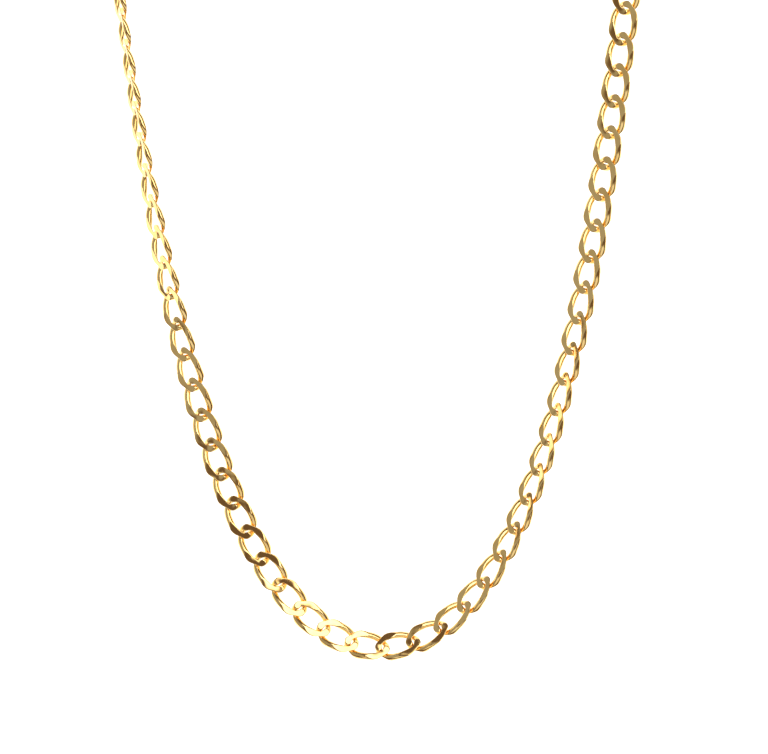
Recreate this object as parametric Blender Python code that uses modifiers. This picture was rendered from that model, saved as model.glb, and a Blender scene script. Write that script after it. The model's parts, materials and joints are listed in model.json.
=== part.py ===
"""A gold curb chain necklace, laid open on a flat surface.

Fifty-four filed curb links lie in the curve of a hanging chain, lowest link nearest -Y and both ends
towards +Y. The last link on the right carries a jump ring and a lobster clasp, the first link on the left
carries the ring that the clasp closes on. Metres, +Z up, the surface at Z = 0.
"""

import bmesh
import bpy
from math import asin, atan2, copysign, cos, pi, radians, sin
from mathutils import Matrix, Vector

MM = 0.001

# ---- driving dimensions ----
LINKS = 54
ROOT_LINK = 27              # the link that the rest of the chain hangs from, both ways
PITCH = 7.9 * MM            # from one link to the next, along the chain
WIRE = 1.75 * MM            # round wire that each link is bent from
PLAY = 0.29 * MM            # gap between the end bars of two links that hang in each other
LINK_WIDTH = 7.25 * MM      # over both sides of a link, before it is twisted
END_TWIST = radians(50)     # tilt of a link's end bars, opposite at its two ends
TWIST_GATHER = 1.5          # above 1, the twist gathers towards the ends of a link
SQUARENESS = 2.6            # 2 is an ellipse, more is squarer
FILED = 1.70 * MM           # thickness left after both faces are filed flat
LINK_POINTS = 14            # points around one link

DRAPE = 22.9 * MM           # a in y = a (cosh(x / a) - 1), the curve of the hanging chain
# how far the chain is rolled about its own length, in degrees, at links counted from the lowest point:
# nearly on edge high on the left, face up just left of the bottom, leaning the other way on the right
ROLL = ((-26.5, 60), (-23, 75), (-5, 0), (9, -45), (20, -15), (26.5, -10))

RING_SIZE = 7.0 * MM        # jump ring and end ring, over all
RING_WIRE = 1.2 * MM
# how the two rings lie: beyond and beside the chain's last bar, height, then lean along and across it
CLASP_RING_LIES = (1.15 * MM, 0.08 * MM, 1.40 * MM, 0, radians(8))
END_RING_LIES = (0.30 * MM, -0.05 * MM, 1.58 * MM, radians(19.5), radians(-1))

# the lobster clasp: across, then along, measured from the middle of its eye
CLASP_THICKNESS = 2.8 * MM
CLAW_CENTRE = (0, 8.6 * MM)
CLAW_HALF = (3.2 * MM, 5.4 * MM)
MOUTH_CENTRE = (-0.15 * MM, 9.5 * MM)
MOUTH_HALF = (1.75 * MM, 2.7 * MM)
EYE_HALF = (1.55 * MM, 1.25 * MM)   # half length and half height of the eye
EYE_WIDTH = 1.3 * MM
EYE_HOLE = 1.7 * MM
PIVOT = (1.75 * MM, 5.6 * MM)
PIN_DIAMETER = 0.9 * MM
PIN_HOLE = 1.1 * MM
LEVER_THICKNESS = 1.3 * MM
SPRING_RADIUS = 0.36 * MM
SPRING_WIRE = 0.16 * MM
SPRING_FROM = (0.65 * MM, 4.10 * MM)
SPRING_LENGTH = 0.55 * MM
SPRING_TURNS = 3
# the lever's slot and the spring's pocket: lowest and highest corners
LEVER_SLOT = ((0.15 * MM, 4.35 * MM, -0.8 * MM), (5.0 * MM, 7.8 * MM, 0.8 * MM))
SPRING_POCKET = ((0.15 * MM, 4.0 * MM, -0.5 * MM), (1.15 * MM, 4.6 * MM, 0.5 * MM))

GOLD = (0.86, 0.58, 0.20, 1.0)
STEEL = (0.62, 0.61, 0.58, 1.0)


# ---- small helpers ----
def clear_scene():
    for obj in list(bpy.data.objects):
        bpy.data.objects.remove(obj, do_unlink=True)


def new_collection(name):
    collection = bpy.data.collections.new(name)
    bpy.context.scene.collection.children.link(collection)
    return collection


def metal(name, colour=GOLD, roughness=0.12):
    material = bpy.data.materials.new(name)
    material.use_nodes = True
    shader = material.node_tree.nodes["Principled BSDF"]
    shader.inputs["Base Color"].default_value = colour
    shader.inputs["Metallic"].default_value = 1.0
    shader.inputs["Roughness"].default_value = roughness
    material.diffuse_color = colour
    return material


def part_object(name, mesh, matrix, material, parts):
    obj = bpy.data.objects.new(name, mesh)
    obj.matrix_world = matrix
    if not mesh.materials:
        mesh.materials.append(material)
    obj.material_slots[0].link = "OBJECT"
    obj.material_slots[0].material = material
    parts.objects.link(obj)
    return obj


def signed_power(value, power):
    return copysign(abs(value) ** power, value)


def smooth_between(knots, x):
    """A cubic through the knots that never overshoots: it is level at each peak and dip."""
    xs = [k[0] for k in knots]
    ys = [k[1] for k in knots]
    if x <= xs[0]:
        return ys[0]
    if x >= xs[-1]:
        return ys[-1]
    slopes = [(ys[i + 1] - ys[i]) / (xs[i + 1] - xs[i]) for i in range(len(xs) - 1)]

    def tangent(i):
        if i in (0, len(xs) - 1):
            return slopes[min(i, len(slopes) - 1)]
        before, after = slopes[i - 1], slopes[i]
        return 0.0 if before * after <= 0 else 2 * before * after / (before + after)

    i = max(k for k in range(len(xs) - 1) if xs[k] <= x)
    width = xs[i + 1] - xs[i]
    u = (x - xs[i]) / width
    return (
        (2 * u**3 - 3 * u**2 + 1) * ys[i]
        + (u**3 - 2 * u**2 + u) * width * tangent(i)
        + (3 * u**2 - 2 * u**3) * ys[i + 1]
        + (u**3 - u**2) * width * tangent(i + 1)
    )


# ---- one link ----
def link_centreline(count):
    """Points of a link's wire: X along the chain, Y across it, Z out of its face."""
    half_length = (PITCH + WIRE + PLAY) / 2
    half_width = (LINK_WIDTH - WIRE) / 2
    points = []
    for i in range(count):
        turn = 2 * pi * i / count
        along = signed_power(cos(turn), 2 / SQUARENESS)
        across = signed_power(sin(turn), 2 / SQUARENESS)
        twist = -END_TWIST * signed_power(along, TWIST_GATHER)
        points.append(Vector((half_length * along, half_width * across * cos(twist),
                              half_width * across * sin(twist))))
    return points


def mesh_from_curve(curve):
    """Turns a curve into a mesh with its caps welded on, and removes the curve."""
    holder = bpy.data.objects.new(curve.name, curve)
    bpy.context.scene.collection.objects.link(holder)
    mesh = bpy.data.meshes.new_from_object(holder.evaluated_get(bpy.context.evaluated_depsgraph_get()))
    bpy.data.objects.remove(holder, do_unlink=True)
    bpy.data.curves.remove(curve)
    work = bmesh.new()
    work.from_mesh(mesh)
    bmesh.ops.remove_doubles(work, verts=work.verts, dist=1e-7)
    bmesh.ops.recalc_face_normals(work, faces=work.faces)
    work.to_mesh(mesh)
    work.free()
    return mesh


def tube_mesh(name, points, radius, cyclic=True, sides_setting=2):
    """A closed mesh of round wire along the points."""
    curve = bpy.data.curves.new(name, "CURVE")
    curve.dimensions = "3D"
    curve.bevel_depth = radius
    curve.bevel_resolution = sides_setting
    curve.use_fill_caps = not cyclic
    spline = curve.splines.new("POLY")
    spline.points.add(len(points) - 1)
    for target, point in zip(spline.points, points):
        target.co = (*point, 1.0)
    spline.use_cyclic_u = cyclic
    return mesh_from_curve(curve)


def file_flat(mesh, half_thickness):
    """Cuts away what stands above and below the two faces, and closes the cuts."""
    work = bmesh.new()
    work.from_mesh(mesh)
    for side in (1, -1):
        cut = bmesh.ops.bisect_plane(
            work, geom=work.verts[:] + work.edges[:] + work.faces[:], dist=1e-8,
            plane_co=(0, 0, side * half_thickness), plane_no=(0, 0, side), clear_outer=True)
        rim = [e for e in cut["geom_cut"] if isinstance(e, bmesh.types.BMEdge)]
        bmesh.ops.holes_fill(work, edges=rim, sides=0)
    bmesh.ops.recalc_face_normals(work, faces=work.faces)
    work.to_mesh(mesh)
    work.free()
    return mesh


def link_mesh():
    """One link about its own middle."""
    mesh = tube_mesh("curb_link", link_centreline(LINK_POINTS), WIRE / 2)
    file_flat(mesh, FILED / 2)
    mesh.shade_smooth()
    mesh.set_sharp_from_angle(angle=radians(50))
    return mesh


# ---- where each link lies ----
def places_from_lowest():
    """Each link's place along the chain, counted in links from the lowest point."""
    return [n - (LINKS - 1) / 2 for n in range(LINKS)]


def lie_height(points, roll, clearance=0.02 * MM):
    """How high a link's middle is when it lies on the surface, rolled about its length."""
    return clearance - min(p.y * sin(roll) + p.z * cos(roll) for p in points)


def link_frames(points):
    """One matrix per link, from the first on the left to the last on the right.

    X runs along the chain from left to right, Z is the link's face. Every link spans exactly one pitch
    between its two joints, so the joints are added up one after another.
    """
    places = places_from_lowest()
    rolls = [radians(smooth_between(ROLL, k)) for k in places]
    heights = [lie_height(points, roll) for roll in rolls]
    joint_heights = [heights[0]]
    joint_heights += [(a + b) / 2 for a, b in zip(heights, heights[1:])]
    joint_heights.append(heights[-1])
    headings = []
    for n, k in enumerate(places):
        in_plan = atan2(k * PITCH, DRAPE)
        rise = asin((joint_heights[n + 1] - joint_heights[n]) / PITCH)
        headings.append(Vector((cos(rise) * cos(in_plan), cos(rise) * sin(in_plan), sin(rise))))
    joints = [Vector((0, 0, joint_heights[0]))]
    for heading in headings:
        joints.append(joints[-1] + PITCH * heading)
    middle = joints[LINKS // 2].copy()
    middle.z = 0
    frames = []
    for n, heading in enumerate(headings):
        level = Vector((0, 0, 1)).cross(heading).normalized()
        up = heading.cross(level)
        side = cos(rolls[n]) * level + sin(rolls[n]) * up
        face = heading.cross(side)
        centre = (joints[n] + joints[n + 1]) / 2 - middle
        frames.append(Matrix.Translation(centre) @ Matrix((heading, side, face)).transposed().to_4x4())
    return frames


def hung_from_joint(number, frame):
    """A link's frame moved to the joint that the link hangs from, with X pointing away from it.

    A link looks the same after half a turn about Z, so one mesh serves both strands.
    """
    if number <= ROOT_LINK:
        frame = frame @ Matrix.Rotation(pi, 4, "Z")
    return frame @ Matrix.Translation((-PITCH / 2, 0, 0))


# ---- rings and clasp ----
def ring_mesh():
    """A soldered ring of round wire, about its own Z axis."""
    bpy.ops.mesh.primitive_torus_add(major_radius=(RING_SIZE - RING_WIRE) / 2, minor_radius=RING_WIRE / 2,
                                     major_segments=24, minor_segments=8)
    ring = bpy.context.object
    mesh = ring.data
    mesh.name = "ring"
    bpy.data.objects.remove(ring, do_unlink=True)
    mesh.shade_smooth()
    return mesh


def strand_end(frame, direction):
    """The last bar's middle, the level way out along the chain, and the level way across it."""
    half_length = (PITCH + WIRE + PLAY) / 2
    along = frame.to_3x3() @ Vector((direction, 0, 0))
    bar = frame.translation + half_length * along
    out = Vector((along.x, along.y, 0)).normalized()
    across = Vector((out.y, -out.x, 0))
    return bar, out, across


def add_ring(name, frame, direction, lies, parts):
    """A ring hooked through the last link, and an empty on the bar that the ring swings about.

    In the ring's frame X points out along the chain and Z is the ring's axis.
    """
    beyond, beside, height, lean_along, lean_across = lies
    bar, out, across = strand_end(frame, direction)
    centre = Vector((bar.x, bar.y, 0)) + beyond * out + beside * across + Vector((0, 0, height))
    level = Matrix((out, Vector((0, 0, 1)).cross(out), Vector((0, 0, 1)))).transposed().to_4x4()
    lean = Matrix.Rotation(lean_along, 4, "Y") @ Matrix.Rotation(lean_across, 4, "X")
    matrix = Matrix.Translation(centre) @ level @ lean
    hinge = bpy.data.objects.new(name + "_hinge", None)
    parts.objects.link(hinge)
    ring = part_object(name, ring_mesh(), Matrix.Translation(-bar) @ matrix, metal(name), parts)
    ring.parent = hinge
    hinge.matrix_world = Matrix.Translation(bar)
    return matrix


def clasp_matrix(ring):
    """The clasp's frame: the middle of its eye on the ring's far wire, Y out along the chain, Z up."""
    wire = ring @ Vector(((RING_SIZE - RING_WIRE) / 2, 0, 0))
    out = ring.to_3x3() @ Vector((1, 0, 0))
    out.z = 0
    out.normalize()
    across = Vector((out.y, -out.x, 0))
    turned = Matrix((across, out, Vector((0, 0, 1)))).transposed().to_4x4()
    return Matrix.Translation(wire) @ turned


def oval(centre, half, start, end, count):
    """Points of an oval from one angle to another, in degrees from the +across side."""
    points = []
    for i in range(count):
        angle = radians(start + (end - start) * i / (count - 1))
        points.append((centre[0] + half[0] * cos(angle), centre[1] + half[1] * sin(angle)))
    return points


def plate_mesh(name, outlines, thickness):
    """A flat plate: the first outline is its edge, and the others are holes in it."""
    curve = bpy.data.curves.new(name, "CURVE")
    curve.dimensions = "2D"
    curve.fill_mode = "BOTH"
    curve.extrude = thickness / 2
    for outline in outlines:
        spline = curve.splines.new("POLY")
        spline.points.add(len(outline) - 1)
        for target, point in zip(spline.points, outline):
            target.co = (*point, 0.0, 1.0)
        spline.use_cyclic_u = True
    return mesh_from_curve(curve)


def claw_outline():
    """The clasp's body seen from above: neck, right shoulder, round the mouth and back over the hook."""
    neck = EYE_WIDTH / 2
    right = [(neck, 1.15 * MM), (0.95 * MM, 2.4 * MM)] + oval(CLAW_CENTRE, CLAW_HALF, -62, -20, 5)
    mouth = oval(MOUTH_CENTRE, MOUTH_HALF, -60, -322, 20)
    back = oval(CLAW_CENTRE, CLAW_HALF, 36, 242, 16)
    return right + mouth + back + [(-0.95 * MM, 2.4 * MM), (-neck, 1.15 * MM)]


def lever_outlines():
    """The gate with its thumb piece seen from above, and the hole for the pin."""
    gate_inside = oval(MOUTH_CENTRE, (MOUTH_HALF[0] + 0.15 * MM, MOUTH_HALF[1]), -50, 33, 6)
    gate_outside = oval(CLAW_CENTRE, (CLAW_HALF[0] - 0.1 * MM, CLAW_HALF[1] - 0.1 * MM), 29, -16, 5)
    thumb_piece = [(3.45 * MM, 6.75 * MM), (4.35 * MM, 6.85 * MM), (4.75 * MM, 6.45 * MM),
                   (4.60 * MM, 5.95 * MM), (3.60 * MM, 5.55 * MM)]
    heel = oval(PIVOT, (1.0 * MM, 1.0 * MM), -20, -180, 7) + [(0.75 * MM, 6.3 * MM)]
    pin_hole = oval(PIVOT, (PIN_HOLE / 2, PIN_HOLE / 2), 0, 337.5, 16)
    return [gate_inside + gate_outside + thumb_piece + heel, pin_hole]


def cutter_object(name, mesh, matrix, cutters):
    obj = bpy.data.objects.new(name, mesh)
    obj.matrix_world = matrix
    obj.hide_render = True
    obj.display_type = "WIRE"
    cutters.objects.link(obj)
    return obj


def box_mesh(name, low, high):
    mesh = bpy.data.meshes.new(name)
    work = bmesh.new()
    middle = [(a + b) / 2 for a, b in zip(low, high)]
    size = [b - a for a, b in zip(low, high)]
    bmesh.ops.create_cube(work, size=1.0, matrix=Matrix.Translation(middle) @ Matrix.Diagonal((*size, 1.0)))
    work.to_mesh(mesh)
    work.free()
    return mesh


def rod_mesh(name, radius, length, place, segments=16, squash=1.0):
    """A rod along its own Z, put in place by a matrix, with its Y scaled by squash."""
    mesh = bpy.data.meshes.new(name)
    work = bmesh.new()
    bmesh.ops.create_cone(work, cap_ends=True, segments=segments, radius1=radius, radius2=radius,
                          depth=length, matrix=place @ Matrix.Diagonal((1.0, squash, 1.0, 1.0)))
    work.to_mesh(mesh)
    work.free()
    return mesh


def add_boolean(obj, tool, operation):
    cut = obj.modifiers.new(tool.name, "BOOLEAN")
    cut.operation = operation
    cut.solver = "EXACT"
    cut.object = tool


def add_clasp_body(matrix, material, parts, cutters):
    """The cast body: a rounded plate with an eye, cut for the ring, the lever, its pin and its spring."""
    body = part_object("clasp_body", plate_mesh("clasp_body", [claw_outline()], CLASP_THICKNESS), matrix,
                       material, parts)
    rounding = body.modifiers.new("rounded edges", "BEVEL")
    rounding.width = 0.35 * MM
    rounding.segments = 2
    rounding.limit_method = "ANGLE"
    rounding.angle_limit = radians(60)
    across = Matrix.Rotation(pi / 2, 4, "Y")
    eye = rod_mesh("eye", EYE_HALF[0], EYE_WIDTH, across @ Matrix.Rotation(pi / 2, 4, "Z"), 20,
                   EYE_HALF[1] / EYE_HALF[0])
    hole = rod_mesh("eye_hole", EYE_HOLE / 2, 2 * EYE_WIDTH, across)
    slot = box_mesh("lever_slot", *LEVER_SLOT)
    pocket = box_mesh("spring_pocket", *SPRING_POCKET)
    pin_hole = rod_mesh("pin_hole", PIN_HOLE / 2, 2 * CLASP_THICKNESS, Matrix.Translation((*PIVOT, 0)))
    add_boolean(body, cutter_object("add_eye", eye, matrix, cutters), "UNION")
    for name, mesh in (("eye_hole", hole), ("lever_slot", slot), ("spring_pocket", pocket),
                       ("pin_hole", pin_hole)):
        add_boolean(body, cutter_object("cut_" + name, mesh, matrix, cutters), "DIFFERENCE")


def spring_points(points_per_turn=8):
    steps = points_per_turn * SPRING_TURNS
    points = []
    for i in range(steps + 1):
        turn = 2 * pi * i / points_per_turn
        points.append(Vector((SPRING_FROM[0] + SPRING_RADIUS * cos(turn),
                              SPRING_FROM[1] + SPRING_LENGTH * i / steps, SPRING_RADIUS * sin(turn))))
    return points


def spring_mesh():
    return tube_mesh("clasp_spring", spring_points(), SPRING_WIRE / 2, cyclic=False, sides_setting=1)


# ---- assembly ----
def rest_on_origin(objects):
    """Moves everything so that the parts stand on Z = 0 with the middle of their box over the origin."""
    bpy.context.view_layer.update()
    depsgraph = bpy.context.evaluated_depsgraph_get()
    corners = []
    for obj in objects:
        if obj.type == "MESH" and not obj.hide_render:
            shape = obj.evaluated_get(depsgraph)
            corners += [shape.matrix_world @ v.co for v in shape.data.vertices]
    low = Vector([min(c[i] for c in corners) for i in range(3)])
    high = Vector([max(c[i] for c in corners) for i in range(3)])
    shift = Matrix.Translation((-(low.x + high.x) / 2, -(low.y + high.y) / 2, -low.z))
    for obj in objects:
        if obj.parent is None:
            obj.matrix_world = shift @ obj.matrix_world


def build():
    clear_scene()
    parts = new_collection("curb_chain_necklace")
    cutters = new_collection("cutters")
    link = link_mesh()
    frames = link_frames([v.co.copy() for v in link.vertices])
    link.transform(Matrix.Translation((PITCH / 2, 0, 0)))
    for n, frame in enumerate(frames, start=1):
        name = f"curb_link_{n:02d}"
        part_object(name, link, hung_from_joint(n, frame), metal(name), parts)
    add_ring("end_ring", frames[0], -1, END_RING_LIES, parts)
    clasp = clasp_matrix(add_ring("clasp_ring", frames[-1], 1, CLASP_RING_LIES, parts))
    add_clasp_body(clasp, metal("clasp_body"), parts, cutters)
    lever = plate_mesh("clasp_lever", lever_outlines(), LEVER_THICKNESS)
    about_pivot = Matrix.Translation((-PIVOT[0], -PIVOT[1], 0))
    lever.transform(about_pivot)
    part_object("clasp_lever", lever, clasp @ about_pivot.inverted(), metal("clasp_lever"), parts)
    pin = rod_mesh("clasp_pin", PIN_DIAMETER / 2, CLASP_THICKNESS - 0.1 * MM, Matrix())
    part_object("clasp_pin", pin, clasp @ about_pivot.inverted(), metal("clasp_pin"), parts)
    part_object("clasp_spring", spring_mesh(), clasp, metal("clasp_spring", STEEL, 0.25), parts)
    rest_on_origin(list(parts.objects) + list(cutters.objects))


build()
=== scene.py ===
"""A gold curb chain necklace over a white studio table, seen from straight above.

Every link is built finely around the place of its CAD link, and the rings and the clasp around theirs.
The table lies lower than the chain, so that nothing that a joint swings down is hidden under it.
Metres, +Z up, in the frame of the CAD model.
"""

import json
from math import acos, copysign, cos, pi, radians, sin

import bmesh
import bpy
import numpy as np
from mathutils import Matrix, Vector

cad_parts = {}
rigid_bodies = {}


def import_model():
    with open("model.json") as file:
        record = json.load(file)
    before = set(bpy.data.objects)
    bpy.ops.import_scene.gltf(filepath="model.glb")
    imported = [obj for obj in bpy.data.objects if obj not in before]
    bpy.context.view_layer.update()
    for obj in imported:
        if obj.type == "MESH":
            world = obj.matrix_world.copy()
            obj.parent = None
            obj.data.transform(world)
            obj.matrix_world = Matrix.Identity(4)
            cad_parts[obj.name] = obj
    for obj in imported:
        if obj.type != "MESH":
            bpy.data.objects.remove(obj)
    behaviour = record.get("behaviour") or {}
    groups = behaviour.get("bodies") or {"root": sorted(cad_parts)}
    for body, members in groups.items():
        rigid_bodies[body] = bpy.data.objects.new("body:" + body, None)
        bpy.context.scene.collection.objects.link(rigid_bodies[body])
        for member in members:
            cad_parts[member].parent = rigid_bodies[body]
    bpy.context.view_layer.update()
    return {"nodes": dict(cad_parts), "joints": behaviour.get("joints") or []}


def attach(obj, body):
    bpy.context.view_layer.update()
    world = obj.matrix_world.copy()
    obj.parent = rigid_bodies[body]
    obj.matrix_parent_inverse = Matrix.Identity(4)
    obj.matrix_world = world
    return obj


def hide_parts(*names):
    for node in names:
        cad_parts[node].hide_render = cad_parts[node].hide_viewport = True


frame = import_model()

MM = 0.001

# ---- the link: nearly the CAD link's curve, in slightly finer wire ----
# the CAD link's wire is 1.75 mm and its sides reach 2.75 mm; the finer wire keeps turning links clear
LINKS = 54
WIRE_AT_BARS = 1.70 * MM
WIRE_AT_SIDES = 1.72 * MM
BAR_REACH = 4.97 * MM       # from a link's middle to the middle of its end bar
SIDE_REACH = 2.78 * MM      # and to the middle of its sides
SPREAD_OUT = 0.16           # how much wider the wire is beaten out where it is filed most
SPREAD_IN = 0.06            # little on the inside, where the next link turns
SPREAD_FROM = 1.2 * MM      # the wire's height above the link's middle plane where that is reached
END_TWIST = radians(50)
TWIST_GATHER = 1.5
SQUARENESS = 2.6
SPREAD_DEPTH = 1.3          # over how much of the wire, from its far side, that builds up, in wire radii
FILED_REACH = 0.855 * MM    # from a link's middle plane to its filed face, halfway along the link
FILED_BEND = 11.0           # how the face bends down from there towards both ends, per metre
FILED_LEAN = 0.13           # how steeply a filed face leans across the wire, where the wire stands highest
LEAST_REACH = -0.8          # of the radius: how deep into the wire the filing may go
NARROWEST_FLAT = 0.05       # radians: half the angle that a flat takes of the wire where it isn't filed
CROWN = 0.030 * MM          # how much higher a filed face is along its middle than at its edges
STATIONS = 120              # sections round one link
WORN_FLAT = 0.17 * MM       # how far the edge of a filed face is worn off, across the face
WORN_SIDE = 0.14 * MM       # and down the wire's side
WORN_ROUND = 0.35           # 0 is a straight worn edge, 1 is fully rounded
WIDE_FLAT = 0.25 * MM       # half width from which a filed face counts as a face


def signed_power(value, power):
    return copysign(abs(value) ** power, value)


def centreline_point(turn):
    """A point of the wire's centreline: X along the chain, Y across it, Z out of the link's face."""
    along = signed_power(cos(turn), 2 / SQUARENESS)
    across = signed_power(sin(turn), 2 / SQUARENESS) * SIDE_REACH
    twist = -END_TWIST * signed_power(along, TWIST_GATHER)
    return (BAR_REACH * along, across * cos(twist), across * sin(twist))


def even_stations(count, fine_count=2000):
    """Centreline points at equal steps along the wire, with the wire's direction at each."""
    fine = np.array([centreline_point(2 * pi * i / fine_count) for i in range(fine_count + 1)])
    lengths = np.concatenate([[0.0], np.cumsum(np.linalg.norm(np.diff(fine, axis=0), axis=1))])
    wanted = np.linspace(0, lengths[-1], count, endpoint=False)
    points = np.stack([np.interp(wanted, lengths, fine[:, axis]) for axis in range(3)], axis=1)
    for _ in range(4):
        points = 0.5 * points + 0.25 * (np.roll(points, 1, axis=0) + np.roll(points, -1, axis=0))
    directions = np.roll(points, -1, axis=0) - np.roll(points, 1, axis=0)
    return points, directions / np.linalg.norm(directions, axis=1)[:, None]


def section_half(upper_reach, lower_reach, radius, arc_points=5):
    """The right half of a wire's section, from the middle of its upper flat to that of its lower one.

    Each point comes with how much of it is filed face and how much of it is worn edge.
    """
    halves = []
    angles = []
    for reach in (upper_reach, lower_reach):
        reach = max(min(reach, radius * cos(NARROWEST_FLAT)), LEAST_REACH * radius)
        angle = acos(reach / radius)
        width = radius * sin(angle)
        worn = min(WORN_FLAT, width / 2)
        corner = Vector((width, reach - CROWN))
        flat = Vector((width - worn, reach - CROWN * (1 - worn / width) ** 2))
        over = angle + WORN_SIDE / radius
        round_side = Vector((radius * sin(over), radius * cos(over)))
        filed = min(1.0, width / WIDE_FLAT)
        half = []
        for share in (0, 0.35, 0.7, 0.9):
            inward = share * flat.x
            half.append((Vector((inward, reach - CROWN * (inward / width) ** 2)), filed, 0.0))
        for share in (0, 0.25, 0.5, 0.75, 1):
            straight = flat.lerp(round_side, share)
            rounded = flat.lerp(corner, share).lerp(corner.lerp(round_side, share), share)
            half.append((straight.lerp(rounded, WORN_ROUND), (1 - share) * filed,
                         (1 - abs(2 * share - 1)) * filed))
        halves.append(half)
        angles.append(over)
    arc = np.linspace(angles[0], pi - angles[1], arc_points + 2)[1:-1]
    side = [(Vector((radius * sin(a), radius * cos(a))), 0.0, 0.0) for a in arc]
    lower = [(Vector((p.x, -p.y)), filed, worn) for p, filed, worn in reversed(halves[1])]
    return halves[0] + side + lower


def grid_mesh(name, rings):
    """A closed mesh from closed rings of points, joined one to the next and the last to the first."""
    rows, columns = len(rings), len(rings[0])
    faces = []
    for i in range(rows):
        for j in range(columns):
            a, b = i * columns + j, i * columns + (j + 1) % columns
            step = columns if i < rows - 1 else -i * columns
            faces.append((a, b, b + step, a + step))
    mesh = bpy.data.meshes.new(name)
    mesh.from_pydata([tuple(p) for ring in rings for p in ring], [], faces)
    work = bmesh.new()
    work.from_mesh(mesh)
    bmesh.ops.recalc_face_normals(work, faces=work.faces)
    work.to_mesh(mesh)
    work.free()
    mesh.shade_smooth()
    return mesh


def point_values(mesh, name, values):
    """A number for each point of a mesh, which the materials read by its name."""
    mesh.attributes.new(name, "FLOAT", "POINT").data.foreach_set("value", values)


def smooth_step(value):
    value = min(max(value, 0.0), 1.0)
    return value * value * (3 - 2 * value)


def beaten_wide(point, height, radius):
    """A section's point moved sideways, most at the filed face of the side that stands high or low."""
    high = smooth_step(abs(height) / SPREAD_FROM)
    towards_face = (point.y if height > 0 else -point.y) / radius
    share = high * smooth_step((towards_face + 1) / SPREAD_DEPTH)
    lean = copysign(FILED_LEAN, height) * point.x * share
    return Vector((point.x * (1 + (SPREAD_OUT if point.x > 0 else SPREAD_IN) * share), point.y + lean))


def link_mesh():
    """One link about its own middle: wire cut flat by the two filed faces, and beaten wider there."""
    rings, filed, worn = [], [], []
    for point, direction in zip(*even_stations(STATIONS)):
        point, direction = Vector(point), Vector(direction)
        rise = Vector((0, 0, 1)) - direction * direction.z
        up = rise.normalized()
        across = direction.cross(up)
        towards_bar = min(1.0, abs(point.x) / BAR_REACH)
        radius = (WIRE_AT_SIDES + (WIRE_AT_BARS - WIRE_AT_SIDES) * towards_bar ** 2) / 2
        filed_at = FILED_REACH - FILED_BEND * point.x ** 2
        upper_reach, lower_reach = ((filed_at - z) / rise.length for z in (point.z, -point.z))
        half = section_half(upper_reach, lower_reach, radius)
        outline = half + [(Vector((-p.x, p.y)), *marks) for p, *marks in reversed(half[1:-1])]
        outline = [(beaten_wide(p, point.z, radius), *marks) for p, *marks in outline]
        rings.append([point + across * p.x + up * p.y for p, *_ in outline])
        filed += [mark for _, mark, _ in outline]
        worn += [mark for _, _, mark in outline]
    mesh = grid_mesh("curb_link", rings)
    point_values(mesh, "filed", filed)
    point_values(mesh, "worn", worn)
    return mesh


# ---- where each link lies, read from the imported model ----
def link_name(number):
    return f"curb_link_{number:02d}"


def face_direction(node):
    """The direction of a CAD link's filed faces, which are by far its largest flat area."""
    mesh = frame["nodes"][node].data
    mesh.calc_loop_triangles()
    normals = np.array([t.normal for t in mesh.loop_triangles])
    areas = np.array([t.area for t in mesh.loop_triangles])
    alike = np.abs(normals @ normals.T) > cos(radians(0.5))
    best = int(np.argmax(alike @ areas))
    same = alike[best]
    signs = np.sign(normals[same] @ normals[best])
    return Vector((normals[same] * (areas[same] * signs)[:, None]).sum(axis=0)).normalized()


def link_ends():
    """The two joints at the ends of each link, nearer the first link and nearer the last."""
    ends = {}
    for joint in frame["joints"]:
        place = Vector(joint["pos_m"])
        pair = [b for b in (joint["parent"], joint["child"]) if b.startswith("curb_link_")]
        numbers = sorted(int(b[-2:]) for b in pair)
        if len(numbers) == 2:
            ends.setdefault(numbers[0], {})["last"] = place
            ends.setdefault(numbers[1], {})["first"] = place
        elif joint["parent"] == link_name(LINKS):
            ends.setdefault(LINKS, {})["bar"] = place
        elif joint["parent"] == link_name(1):
            ends.setdefault(1, {})["bar"] = place
    return ends


def link_matrix(number, ends):
    """A link's frame: X along the chain, Z out of its filed face, on the side turned upwards."""
    places = ends[number]
    if "bar" in places:
        joint = places["first"] if number == LINKS else places["last"]
        along = (places["bar"] - joint).normalized()
        pitch = (ends[LINKS // 2]["last"] - ends[LINKS // 2]["first"]).length
        middle = joint + along * pitch / 2
        along = along if number == LINKS else -along
    else:
        middle = (places["first"] + places["last"]) / 2
        along = (places["last"] - places["first"]).normalized()
    face = face_direction(link_name(number))
    face = (face - along * face.dot(along)).normalized()
    face = face if face.z > 0 else -face
    turned = Matrix((along, face.cross(along), face)).transposed().to_4x4()
    return Matrix.Translation(middle) @ turned


# ---- materials ----
GOLD = (0.985, 0.700, 0.290, 1.0)
GOLD_DEEP = (0.955, 0.630, 0.225, 1.0)   # where the plate is a little redder
GOLD_WORN = (0.990, 0.780, 0.430, 1.0)   # paler along worn edges
STEEL_DARK = (0.52, 0.51, 0.49, 1.0)
STEEL_LIGHT = (0.68, 0.67, 0.65, 1.0)


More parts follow.
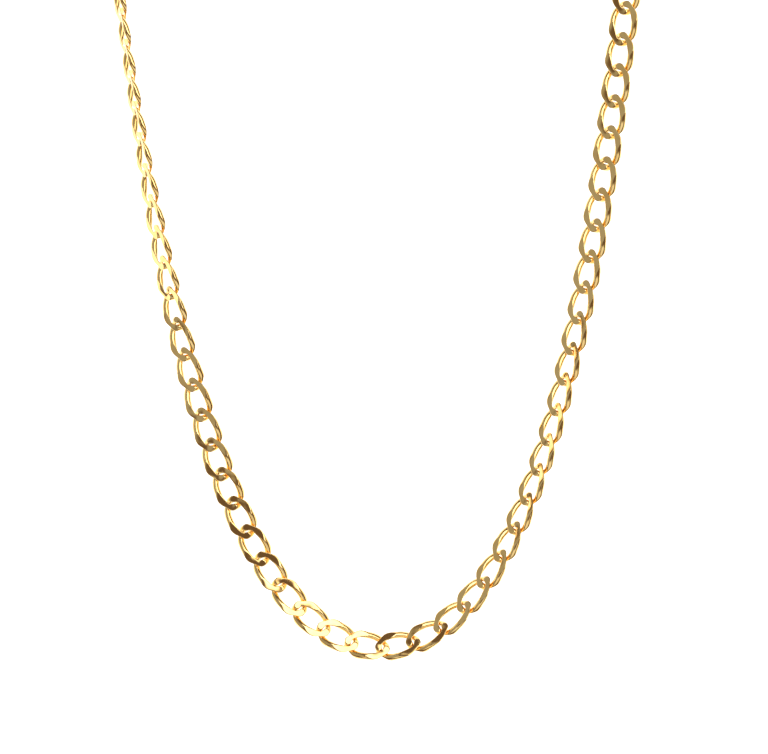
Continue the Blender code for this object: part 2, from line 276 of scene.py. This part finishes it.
class Nodes:
    """Short ways to add nodes to one material or world."""

    def __init__(self, tree):
        self.tree = tree

    def add(self, kind, inputs=None, **settings):
        node = self.tree.nodes.new(kind)
        for key, value in settings.items():
            setattr(node, key, value)
        for key, value in (inputs or {}).items():
            self.set(node.inputs[key], value)
        return node

    def set(self, socket, value):
        if isinstance(value, bpy.types.NodeSocket):
            self.tree.links.new(value, socket)
        else:
            socket.default_value = value

    def math(self, operation, *values):
        return self.add("ShaderNodeMath", dict(enumerate(values)), operation=operation).outputs[0]

    def ramp(self, value, low, high, to_low=0.0, to_high=1.0, smooth=True):
        inputs = {"Value": value, "From Min": low, "From Max": high, "To Min": to_low, "To Max": to_high}
        kind = "SMOOTHSTEP" if smooth else "LINEAR"
        return self.add("ShaderNodeMapRange", inputs, interpolation_type=kind).outputs["Result"]

    def mix(self, share, first, second):
        node = self.add("ShaderNodeMix", {"Factor": share}, data_type="RGBA")
        self.set(node.inputs["A"], first)
        self.set(node.inputs["B"], second)
        return node.outputs["Result"]

    def noise(self, place, scale, detail=2.0):
        inputs = {"Vector": place, "Scale": scale, "Detail": detail}
        return self.add("ShaderNodeTexNoise", inputs).outputs["Fac"]

    def stretched(self, place, rotation, scale):
        inputs = {"Vector": place, "Rotation": rotation, "Scale": scale}
        return self.add("ShaderNodeMapping", inputs).outputs["Vector"]


def gold_material(name, roughness=0.055, waviness=0.2):
    """Polished gold plate: slow colour changes, fine polishing lines, and paler, softer worn edges."""
    material = bpy.data.materials.new(name)
    material.use_nodes = True
    nodes = Nodes(material.node_tree)
    shader = material.node_tree.nodes["Principled BSDF"]
    shader.inputs["Metallic"].default_value = 1.0
    place = nodes.add("ShaderNodeTexCoord").outputs["Object"]
    worn = nodes.add("ShaderNodeAttribute", attribute_name="worn").outputs["Fac"]
    filed = nodes.add("ShaderNodeAttribute", attribute_name="filed").outputs["Fac"]
    slow = nodes.noise(place, 260.0, 3.0)
    fine = nodes.noise(place, 2600.0, 4.0)
    tone = nodes.mix(nodes.ramp(slow, 0.35, 0.7), GOLD, GOLD_DEEP)
    rubbed = nodes.math("MULTIPLY", worn, nodes.ramp(fine, 0.3, 0.65))
    nodes.set(shader.inputs["Base Color"], nodes.mix(rubbed, tone, GOLD_WORN))
    lines = nodes.noise(nodes.stretched(place, (0.0, 0.0, 0.5), (900.0, 12000.0, 9000.0)), 1.0, 2.0)
    crossing = nodes.noise(nodes.stretched(place, (0.3, 0.2, 1.9), (700.0, 15000.0, 9000.0)), 1.0, 2.0)
    brushed = nodes.math("MULTIPLY", filed, nodes.ramp(nodes.math("MAXIMUM", lines, crossing), 0.55, 0.8))
    rough = nodes.math("ADD", nodes.ramp(slow, 0.3, 0.75, roughness, roughness * 1.9),
                       nodes.math("MULTIPLY", nodes.math("ADD", brushed, rubbed), 0.06))
    nodes.set(shader.inputs["Roughness"], rough)
    wavy = nodes.add("ShaderNodeBump", {"Strength": waviness, "Distance": 0.00003,
                                        "Height": nodes.noise(place, 700.0, 1.0)}).outputs["Normal"]
    marks = nodes.math("ADD", nodes.math("MULTIPLY", brushed, -1.0), nodes.math("MULTIPLY", fine, 0.4))
    scratched = nodes.add("ShaderNodeBump", {"Strength": 0.25, "Distance": 0.000002, "Height": marks,
                                             "Normal": wavy}).outputs["Normal"]
    nodes.set(shader.inputs["Normal"], scratched)
    return material


def show(name, mesh, matrix, body, nodes, material):
    """One visible piece, standing for CAD nodes and moving with a CAD body."""
    mesh.transform(matrix)
    piece = bpy.data.objects.new(name, mesh)
    bpy.context.scene.collection.objects.link(piece)
    mesh.materials.append(material)
    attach(piece, body)
    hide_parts(*nodes)
    return piece


def chain():
    mesh = link_mesh()
    material = gold_material("polished_gold")
    ends = link_ends()
    for number in range(1, LINKS + 1):
        name = link_name(number)
        show("filed_link_" + name[-2:], mesh.copy(), link_matrix(number, ends), name, [name], material)
    bpy.data.meshes.remove(mesh)
    return material


# ---- rings and clasp: the CAD model's shapes, finer, with their edges worn soft ----
# the rings' wire is 0.06 mm thinner than in CAD, on the same centre, so that a ring clears its link
RING_SIZE = 6.94 * MM
RING_WIRE = 1.14 * MM
SEAM_HALF = 0.10 * MM       # a ring's closing seam: half its width, and how deep it lies in the wire
SEAM_DEPTH = 0.035 * MM
CLASP_THICKNESS = 2.8 * MM
CLAW = ((0, 8.6 * MM), (3.2 * MM, 5.4 * MM))
MOUTH = ((-0.15 * MM, 9.5 * MM), (1.75 * MM, 2.7 * MM))
EYE_HALF = (1.55 * MM, 1.25 * MM)
EYE_WIDTH = 1.3 * MM
EYE_HOLE = 1.7 * MM
PIVOT = Vector((1.75 * MM, 5.6 * MM, 0))
PIN_DIAMETER = 0.9 * MM
PIN_HOLE = 1.1 * MM
LEVER_THICKNESS = 1.3 * MM
SPRING_RADIUS = 0.36 * MM
SPRING_WIRE = 0.16 * MM
SPRING_FROM = (0.65 * MM, 4.10 * MM)
SPRING_LENGTH = 0.55 * MM
SPRING_TURNS = 3
LEVER_SLOT = ((0.15 * MM, 4.35 * MM, -0.8 * MM), (5.0 * MM, 7.8 * MM, 0.8 * MM))
SPRING_POCKET = ((0.15 * MM, 4.0 * MM, -0.5 * MM), (1.15 * MM, 4.6 * MM, 0.5 * MM))
GATE_CLEARANCE = 0.15 * MM  # the gate's inner edge stands back this far from the mouth's oval
GATE_INSET = 0.1 * MM       # and its outer edge lies this far inside the claw's oval
BODY_ROUNDING = 0.45 * MM   # how far each edge is rounded
EYE_ROUNDING = 0.2 * MM
LEVER_ROUNDING = 0.16 * MM
PIN_ROUNDING = 0.12 * MM
PIN_SHORTER = 0.1 * MM      # than the body is thick
SAME_POINT = 0.0005 * MM    # points nearer than this are joined


def oval(centre, half, start, end, count):
    """Points of an oval from one angle to another, in degrees from the +across side."""
    angles = [radians(start + (end - start) * i / (count - 1)) for i in range(count)]
    return [(centre[0] + half[0] * cos(a), centre[1] + half[1] * sin(a)) for a in angles]


def plate_mesh(name, outlines, thickness):
    """A flat plate: the first outline is its edge, and the others are holes in it."""
    curve = bpy.data.curves.new(name, "CURVE")
    curve.dimensions = "2D"
    curve.fill_mode = "BOTH"
    curve.extrude = thickness / 2
    for outline in outlines:
        spline = curve.splines.new("POLY")
        spline.points.add(len(outline) - 1)
        for target, point in zip(spline.points, outline):
            target.co = (*point, 0.0, 1.0)
        spline.use_cyclic_u = True
    return finished_mesh(bpy.data.objects.new(name, curve))


def finished_mesh(obj):
    """The object's mesh with its modifiers applied and its caps joined on; the object is removed."""
    collection = bpy.context.scene.collection
    collection.objects.link(obj)
    seen = obj.evaluated_get(bpy.context.evaluated_depsgraph_get())
    mesh = bpy.data.meshes.new_from_object(seen)
    bpy.data.objects.remove(obj, do_unlink=True)
    work = bmesh.new()
    work.from_mesh(mesh)
    bmesh.ops.remove_doubles(work, verts=work.verts, dist=SAME_POINT)
    bmesh.ops.recalc_face_normals(work, faces=work.faces)
    work.to_mesh(mesh)
    work.free()
    return mesh


def rounded(mesh, width, segments, corner=60):
    obj = bpy.data.objects.new(mesh.name, mesh)
    bevel = obj.modifiers.new("worn edges", "BEVEL")
    bevel.width = width
    bevel.segments = segments
    bevel.limit_method = "ANGLE"
    bevel.angle_limit = radians(corner)
    return finished_mesh(obj)


def rod_mesh(name, radius, length, place, segments=64, squash=1.0):
    """A rod along its own Z, put in place by a matrix, with its Y scaled by squash."""
    mesh = bpy.data.meshes.new(name)
    work = bmesh.new()
    bmesh.ops.create_cone(work, cap_ends=True, segments=segments, radius1=radius, radius2=radius,
                          depth=length, matrix=place @ Matrix.Diagonal((1.0, squash, 1.0, 1.0)))
    work.to_mesh(mesh)
    work.free()
    return mesh


def box_mesh(name, low, high):
    mesh = bpy.data.meshes.new(name)
    work = bmesh.new()
    middle = [(a + b) / 2 for a, b in zip(low, high)]
    size = [b - a for a, b in zip(low, high)]
    place = Matrix.Translation(middle) @ Matrix.Diagonal((*size, 1.0))
    bmesh.ops.create_cube(work, size=1.0, matrix=place)
    work.to_mesh(mesh)
    work.free()
    return mesh


def combined(mesh, *steps):
    """The mesh with others joined to it or cut from it in turn."""
    for operation, tool_mesh in steps:
        obj = bpy.data.objects.new(mesh.name, mesh)
        tool = bpy.data.objects.new(tool_mesh.name, tool_mesh)
        bpy.context.scene.collection.objects.link(tool)
        change = obj.modifiers.new(tool.name, "BOOLEAN")
        change.operation = operation
        change.solver = "EXACT"
        change.object = tool
        mesh = finished_mesh(obj)
        bpy.data.objects.remove(tool, do_unlink=True)
    return mesh


def shaded(mesh, sharp=35):
    mesh.shade_smooth()
    mesh.set_sharp_from_angle(angle=radians(sharp))
    return mesh


def clasp_body_mesh():
    neck = EYE_WIDTH / 2
    right = [(neck, 1.15 * MM), (0.76 * MM, 1.9 * MM), (0.95 * MM, 2.4 * MM)] + oval(*CLAW, -62, -20, 14)
    left = [(-0.95 * MM, 2.4 * MM), (-0.76 * MM, 1.9 * MM), (-neck, 1.15 * MM)]
    outline = right + oval(*MOUTH, -60, -322, 64) + oval(*CLAW, 36, 242, 56) + left
    body = rounded(plate_mesh("clasp_body", [outline], CLASP_THICKNESS), BODY_ROUNDING, 5)
    across = Matrix.Rotation(pi / 2, 4, "Y")
    eye = rounded(rod_mesh("eye", EYE_HALF[0], EYE_WIDTH, across @ Matrix.Rotation(pi / 2, 4, "Z"),
                           squash=EYE_HALF[1] / EYE_HALF[0]), EYE_ROUNDING, 3)
    return shaded(combined(
        body, ("UNION", eye),
        ("DIFFERENCE", rod_mesh("eye_hole", EYE_HOLE / 2, 2 * EYE_WIDTH, across)),
        ("DIFFERENCE", box_mesh("lever_slot", *LEVER_SLOT)),
        ("DIFFERENCE", box_mesh("spring_pocket", *SPRING_POCKET)),
        ("DIFFERENCE", rod_mesh("pin_hole", PIN_HOLE / 2, 2 * CLASP_THICKNESS, Matrix.Translation(PIVOT)))))


def clasp_lever_mesh():
    gate_inside = oval(MOUTH[0], (MOUTH[1][0] + GATE_CLEARANCE, MOUTH[1][1]), -50, 33, 20)
    gate_outside = oval(CLAW[0], (CLAW[1][0] - GATE_INSET, CLAW[1][1] - GATE_INSET), 29, -16, 14)
    thumb_piece = [(3.45 * MM, 6.75 * MM), (3.85 * MM, 6.84 * MM), (4.35 * MM, 6.85 * MM),
                   (4.65 * MM, 6.70 * MM), (4.75 * MM, 6.45 * MM), (4.74 * MM, 6.15 * MM),
                   (4.60 * MM, 5.95 * MM), (4.10 * MM, 5.74 * MM), (3.60 * MM, 5.55 * MM)]
    heel = oval(PIVOT, (1.0 * MM, 1.0 * MM), -20, -180, 24) + [(0.75 * MM, 6.3 * MM)]
    hole = oval(PIVOT, (PIN_HOLE / 2, PIN_HOLE / 2), 0, 352.5, 48)
    outline = gate_inside + gate_outside + thumb_piece + heel
    plate = plate_mesh("clasp_lever", [outline, hole], LEVER_THICKNESS)
    return shaded(rounded(plate, LEVER_ROUNDING, 4))


def tube_rings(points, normals, radii, sides):
    """Rings of points round a path; each path point comes with two directions square to the path."""
    angles = [2 * pi * i / sides for i in range(sides)]
    return [[point + radius * (cos(angle) * out + sin(angle) * side) for angle in angles]
            for point, (out, side), radius in zip(points, normals, radii)]


def ring_mesh(stations=144, sides=28):
    """A ring of round wire about its own Z axis, closed by a thin soldered seam at -X."""
    major = (RING_SIZE - RING_WIRE) / 2
    points, normals, radii = [], [], []
    for i in range(stations):
        turn = 2 * pi * i / stations
        out = Vector((cos(turn), sin(turn), 0))
        from_seam = abs(turn - pi) * major
        seam = max(0.0, 1 - from_seam / SEAM_HALF)
        points.append(out * major)
        normals.append((out, Vector((0, 0, 1))))
        radii.append(RING_WIRE / 2 - SEAM_DEPTH * seam)
    return grid_mesh("ring", tube_rings(points, normals, radii, sides))


def spring_mesh(points_per_turn=40, sides=12):
    steps = points_per_turn * SPRING_TURNS
    points, normals = [], []
    for i in range(steps + 1):
        turn = 2 * pi * i / points_per_turn
        out = Vector((cos(turn), 0, sin(turn)))
        middle = Vector((SPRING_FROM[0], SPRING_FROM[1] + SPRING_LENGTH * i / steps, 0))
        points.append(middle + SPRING_RADIUS * out)
        normals.append((out, Vector((0, 1, 0))))
    rings = tube_rings(points, normals, [SPRING_WIRE / 2] * len(points), sides)
    mesh = grid_mesh("clasp_spring", rings)
    work = bmesh.new()
    work.from_mesh(mesh)
    work.faces.ensure_lookup_table()
    bmesh.ops.delete(work, geom=work.faces[-sides:], context="FACES_ONLY")
    bmesh.ops.holes_fill(work, edges=[e for e in work.edges if e.is_boundary])
    bmesh.ops.recalc_face_normals(work, faces=work.faces)
    work.to_mesh(mesh)
    work.free()
    return shaded(mesh, 60)


def ring_matrix(node, towards):
    """A CAD ring's frame: its middle, its axis on the upper side, and X away from a point."""
    points = np.empty(3 * len(frame["nodes"][node].data.vertices))
    frame["nodes"][node].data.vertices.foreach_get("co", points)
    points = points.reshape(-1, 3)
    low, high = points.min(axis=0), points.max(axis=0)
    middle = (low + high) / 2
    axis = Vector(np.linalg.eigh(np.cov((points - middle).T))[1][:, 0])
    axis = axis if axis.z > 0 else -axis
    out = Vector(middle) - towards
    out = (out - axis * out.dot(axis)).normalized()
    return Matrix.Translation(middle) @ Matrix((out, axis.cross(out), axis)).transposed().to_4x4()


def joint_named(name):
    return next(j for j in frame["joints"] if j["name"] == name)


def steel_material(name):
    """Spring steel: grey, with the fine lines of drawn wire."""
    material = bpy.data.materials.new(name)
    material.use_nodes = True
    nodes = Nodes(material.node_tree)
    shader = material.node_tree.nodes["Principled BSDF"]
    shader.inputs["Metallic"].default_value = 1.0
    place = nodes.add("ShaderNodeTexCoord").outputs["Object"]
    drawn = nodes.noise(nodes.stretched(place, (0.0, 0.0, 0.0), (3000.0, 26000.0, 3000.0)), 1.0, 3.0)
    nodes.set(shader.inputs["Base Color"], nodes.mix(drawn, STEEL_DARK, STEEL_LIGHT))
    nodes.set(shader.inputs["Roughness"], nodes.ramp(drawn, 0.3, 0.7, 0.2, 0.38))
    nodes.set(shader.inputs["Normal"], nodes.add("ShaderNodeBump", {
        "Strength": 0.3, "Distance": 0.000004, "Height": drawn}).outputs["Normal"])
    return material


def rings_and_clasp(gold):
    ends = link_ends()
    for node, link in (("end_ring", 1), ("clasp_ring", LINKS)):
        show("round_" + node, ring_mesh(), ring_matrix(node, ends[link]["bar"]), node, [node], gold)
    swing = joint_named("clasp_swing")
    across, up = Vector(swing["axis"]).normalized(), Vector((0, 0, 1))
    turned = Matrix((across, up.cross(across), up)).transposed().to_4x4()
    place = Matrix.Translation(swing["pos_m"]) @ turned
    pin = rod_mesh("clasp_pin", PIN_DIAMETER / 2, CLASP_THICKNESS - PIN_SHORTER, Matrix.Translation(PIVOT))
    pin = rounded(pin, PIN_ROUNDING, 4)
    show("claw_body", clasp_body_mesh(), place, "clasp_body", ["clasp_body"], gold)
    show("claw_lever", clasp_lever_mesh(), place, "clasp_lever", ["clasp_lever"], gold)
    show("claw_pin", shaded(pin, 60), place, "clasp_body", ["clasp_pin"], gold)
    steel = steel_material("spring_wire")
    spring = show("claw_spring", spring_mesh(), place, "clasp_body", ["clasp_spring"], steel)


# ---- studio ----
PHOTO_WIDTH = 193.3 * MM    # how much of the table the picture takes in
LENS = 250.0                # mm
SENSOR = 36.0               # mm wide
CHAIN_HEIGHT = 2.5 * MM     # where the picture's scale is true
LOOK_ABOVE_LOWEST = (0.35 * MM, 68.26 * MM)   # picture's middle, right of and above the lowest joint
CAMERA_ROLL = -0.014


def camera(lowest):
    data = bpy.data.cameras.new("camera")
    data.lens = LENS
    data.sensor_width = SENSOR
    eye = bpy.data.objects.new("camera", data)
    bpy.context.scene.collection.objects.link(eye)
    turned = Matrix.Rotation(CAMERA_ROLL, 4, "Z")
    middle = lowest + turned @ Vector((*LOOK_ABOVE_LOWEST, 0))
    middle.z = CHAIN_HEIGHT
    distance = PHOTO_WIDTH * LENS / SENSOR
    eye.matrix_world = Matrix.Translation(middle + Vector((0, 0, distance))) @ turned
    data.clip_end = CAMERA_SEES
    bpy.context.scene.camera = eye


CAMERA_SEES = 20.0          # metres
TABLE_SIZE = 12.0           # metres
TABLE_GLOW = 1.0            # the table is lit evenly from below, so nothing shades it
TABLE_BELOW = 90 * MM       # under the chain, because a bent chain reaches 81 mm down
ROOM = (0.15, 0.105, 0.08, 1.0)   # the dim, warm room above the table
# its three soft boxes: azimuth and half width, then from and to the zenith, all in degrees, and brightness
SOFT_BOXES = (
    (-90, 50, 30, 60, 0.9),
    (45, 55, 8, 45, 2.6),
    (165, 40, 20, 85, 0.4),
)
BOX_EDGE = 5                # degrees each side of its outline over which a soft box fades
BACKDROP = 1.1              # brightness of the white that the camera sees past the table


def table():
    bpy.ops.mesh.primitive_plane_add(size=TABLE_SIZE, location=(0, 0, -TABLE_BELOW))
    top = bpy.context.object
    top.name = "table"
    material = bpy.data.materials.new("white_table")
    material.use_nodes = True
    shader = material.node_tree.nodes["Principled BSDF"]
    shader.inputs["Base Color"].default_value = (0.8, 0.8, 0.8, 1.0)
    shader.inputs["Roughness"].default_value = 0.9
    shader.inputs["Emission Color"].default_value = (1.0, 1.0, 1.0, 1.0)
    shader.inputs["Emission Strength"].default_value = TABLE_GLOW
    top.data.materials.append(material)


def studio_light():
    """Three large soft boxes in a dim room, over a white table; the camera itself sees only white."""
    world = bpy.data.worlds.new("studio")
    world.use_nodes = True
    bpy.context.scene.world = world
    nodes = Nodes(world.node_tree)
    direction = nodes.add("ShaderNodeTexCoord").outputs["Generated"]
    height = nodes.add("ShaderNodeSeparateXYZ", {"Vector": direction}).outputs["Z"]
    from_zenith = nodes.math("ARCCOSINE", height)
    flattened = nodes.add("ShaderNodeVectorMath", {0: direction, 1: (1.0, 1.0, 0.0)}, operation="MULTIPLY")
    level = nodes.add("ShaderNodeVectorMath", {0: flattened.outputs[0]}, operation="NORMALIZE").outputs[0]
    edge = radians(BOX_EDGE)
    colour = ROOM
    for azimuth, half_width, nearest, furthest, brightness in SOFT_BOXES:
        towards = (cos(radians(azimuth)), sin(radians(azimuth)), 0.0)
        facing = nodes.add("ShaderNodeVectorMath", {0: level, 1: towards}, operation="DOT_PRODUCT")
        turn = nodes.math("ARCCOSINE", facing.outputs["Value"])
        beside = nodes.ramp(turn, radians(half_width) - edge, radians(half_width) + edge, 1.0, 0.0)
        below = nodes.ramp(from_zenith, radians(nearest) - edge, radians(nearest) + edge)
        above = nodes.ramp(from_zenith, radians(furthest) - edge, radians(furthest) + edge, 1.0, 0.0)
        inside = nodes.math("MULTIPLY", beside, nodes.math("MULTIPLY", below, above))
        colour = nodes.mix(inside, colour, (brightness, brightness, brightness, 1.0))
    background = world.node_tree.nodes["Background"]
    nodes.set(background.inputs["Color"], colour)
    white = nodes.add("ShaderNodeBackground", {"Color": (1.0, 1.0, 1.0, 1.0), "Strength": BACKDROP})
    seen = nodes.add("ShaderNodeLightPath").outputs["Is Camera Ray"]
    both = nodes.add("ShaderNodeMixShader", {0: seen, 1: background.outputs[0], 2: white.outputs[0]})
    nodes.set(world.node_tree.nodes["World Output"].inputs["Surface"], both.outputs[0])


rings_and_clasp(chain())
camera(link_ends()[LINKS // 2]["last"])
table()
studio_light()
bpy.context.scene.view_settings.view_transform = "Standard"
